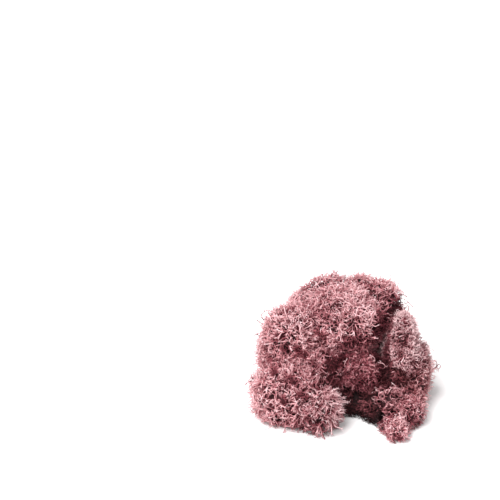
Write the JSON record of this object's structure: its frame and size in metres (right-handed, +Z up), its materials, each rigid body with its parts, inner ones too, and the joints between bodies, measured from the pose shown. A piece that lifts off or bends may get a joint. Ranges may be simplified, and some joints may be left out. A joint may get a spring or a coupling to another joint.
{
  "type": "reindeer moss clump",
  "caption": "Clump of dyed, preserved reindeer moss: rounded heads of forked lichen twigs pressed together, resting on their low heads",
  "frame": {"origin": "middle of the footprint box, on the surface that the clump rests on", "axes": "+X along the clump's width, to the right seen from its open side; +Y to its back; +Z up"},
  "size_m": [0.1358, 0.132, 0.0817],
  "materials": {
    "rose": "matte",
    "plum": "matte"
  },
  "bodies": {
    "root": {"crown": "rose", "crown_rear": "rose", "rear_right": "rose", "left_shoulder": "rose", "left_foot": "rose", "left_toe": "rose", "left_knee": "rose", "left_wisp": "rose", "hollow": "plum", "right_hollow": "plum", "right_shoulder": "rose", "right_flank": "plum", "right_knee": "rose", "right_heel": "plum", "right_toe": "plum", "right_foot": "rose", "tail": "rose", "recess": "plum", "heart": "plum", "rear_left_foot": "plum", "rear_right_foot": "plum"}
  },
  "joints": []
}
